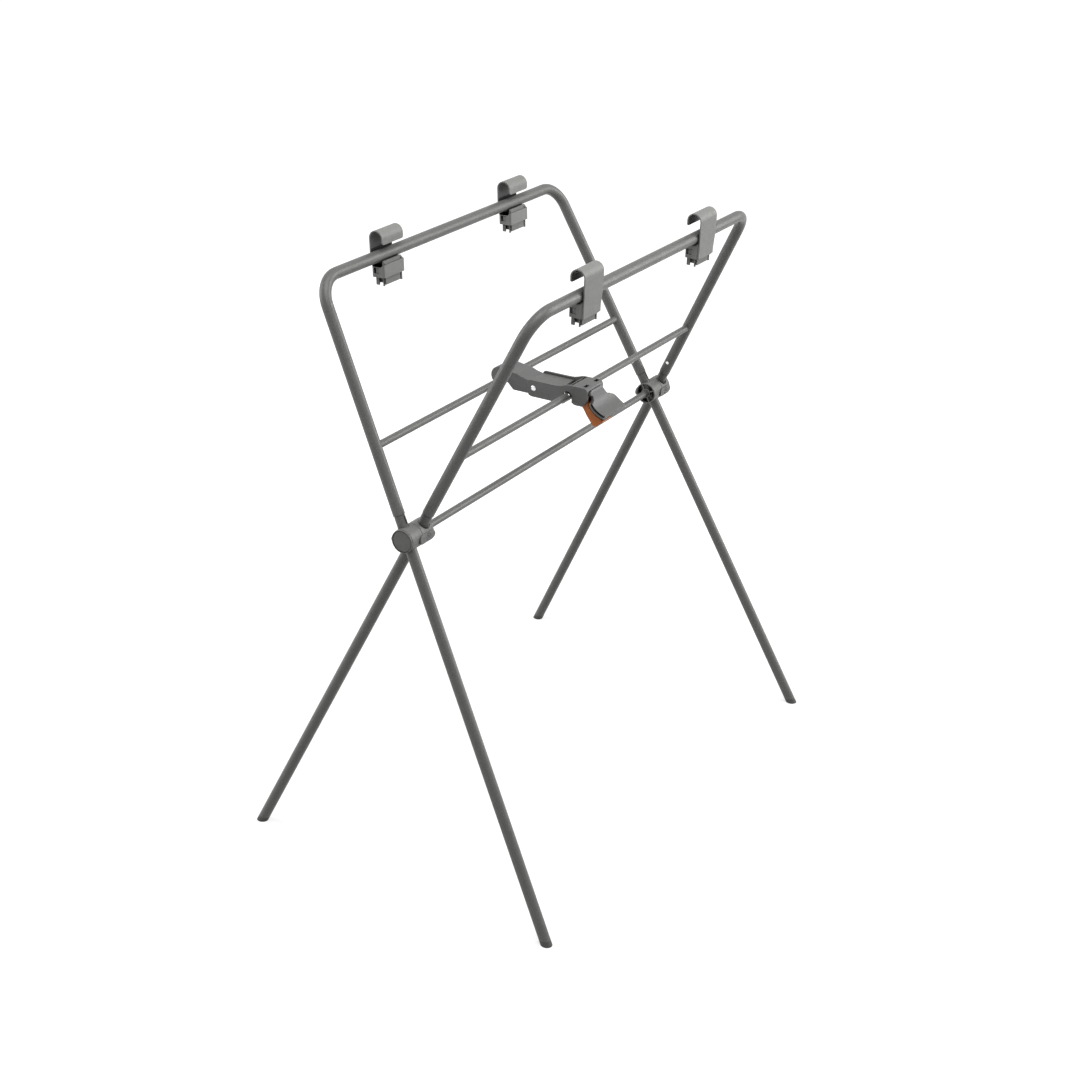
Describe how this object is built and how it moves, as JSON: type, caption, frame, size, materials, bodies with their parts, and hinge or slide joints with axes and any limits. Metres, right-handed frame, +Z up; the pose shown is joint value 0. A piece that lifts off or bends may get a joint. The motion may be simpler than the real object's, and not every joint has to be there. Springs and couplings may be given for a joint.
{
  "type": "folding baby bath stand",
  "caption": "Folding stand for a baby bath: crossed grey tube frames, four rim hooks and a jointed brace with an orange release lever.",
  "frame": {"origin": "on the floor under the middle of the stand", "axes": "+Z up; the pivot lies along X; frame A leans to +Y above the pivot and frame B to -Y"},
  "size_m": [0.942, 0.6186, 1.0111],
  "materials": {
    "tube": "fine satin powder coat",
    "hook": "matte",
    "rubber": "matte",
    "plastic": "matte",
    "foot": "matte",
    "orange": "satin",
    "steel": "plated"
  },
  "bodies": {
    "frame_a": {"upper_frame_a": "tube", "brace_rail_a": "tube", "leg_a_near": "tube", "leg_a_far": "tube", "foot_a_near": "foot", "foot_a_far": "foot", "hub_half_a_near": "plastic", "hub_half_a_far": "plastic", "hub_cap_near": "plastic", "hub_screws_a": "steel", "hub_washer_near": "steel", "hub_washer_far": "steel", "cross_rod": "tube", "rod_clips": "steel", "snap_springs_a": "steel", "hook_a_near": "hook", "hook_a_far": "hook", "hook_liner_a_near": "rubber", "hook_liner_a_far": "rubber", "hook_jaw_a_near": "hook", "hook_jaw_a_far": "hook"},
    "frame_b": {"upper_frame_b": "tube", "brace_rail_b": "tube", "leg_b_near": "tube", "leg_b_far": "tube", "foot_b_near": "foot", "foot_b_far": "foot", "hub_half_b_near": "plastic", "hub_half_b_far": "plastic", "hub_cap_far": "plastic", "hub_screws_b": "steel", "rail_pins": "steel", "snap_springs_b": "steel", "hook_b_near": "hook", "hook_b_far": "hook", "hook_liner_b_near": "rubber", "hook_liner_b_far": "rubber", "hook_jaw_b_near": "hook", "hook_jaw_b_far": "hook"},
    "arm_a": {"brace_arm_a": "plastic"},
    "arm_b": {"brace_arm_b": "plastic", "knee_rivets": "steel", "brace_grip": "plastic", "lever_pin": "steel", "lever_spring": "steel"},
    "lever": {"release_lever": "orange"},
    "button_a_near": {"snap_button_a_near": "steel"},
    "button_a_far": {"snap_button_a_far": "steel"},
    "button_b_near": {"snap_button_b_near": "steel"},
    "button_b_far": {"snap_button_b_far": "steel"}
  },
  "joints": [
    {"name": "fold", "type": "hinge", "parent": "frame_a", "child": "frame_b", "pos_m": [0, 0, 0.6], "axis": [-1, 0, 0], "range_deg": [0, 39]},
    {"name": "arm_a_swing", "type": "hinge", "parent": "frame_a", "child": "arm_a", "pos_m": [-0.01, 0.06604, 0.73245], "axis": [-1, 0, 0], "range_deg": [0, 94]},
    {"name": "arm_b_swing", "type": "hinge", "parent": "frame_b", "child": "arm_b", "pos_m": [-0.01, -0.06604, 0.73245], "axis": [1, 0, 0], "range_deg": [0, 94]},
    {"name": "lever_squeeze", "type": "hinge", "parent": "arm_b", "child": "lever", "pos_m": [-0.01, -0.088, 0.72845], "axis": [-1, 0, 0], "range_deg": [0, 6], "stiffness_Nm_per_rad": 0.5, "springref_deg": -5.73},
    {"name": "press_a_near", "type": "slide", "parent": "frame_a", "child": "button_a_near", "axis": [-0.9951, 0.0439, 0.0881], "range_m": [0, 0.002], "stiffness_N_per_m": 300, "springref_m": -0.002},
    {"name": "press_a_far", "type": "slide", "parent": "frame_a", "child": "button_a_far", "axis": [0.9951, 0.0439, 0.0881], "range_m": [0, 0.002], "stiffness_N_per_m": 300, "springref_m": -0.002},
    {"name": "press_b_near", "type": "slide", "parent": "frame_b", "child": "button_b_near", "axis": [-0.9951, -0.0439, 0.0881], "range_m": [0, 0.002], "stiffness_N_per_m": 300, "springref_m": -0.002},
    {"name": "press_b_far", "type": "slide", "parent": "frame_b", "child": "button_b_far", "axis": [0.9951, -0.0439, 0.0881], "range_m": [0, 0.002], "stiffness_N_per_m": 300, "springref_m": -0.002}
  ],
  "couplings": [
    {"joint": "arm_a_swing", "follows": "fold", "ratio": 2.41},
    {"joint": "arm_b_swing", "follows": "fold", "ratio": 2.41}
  ]
}
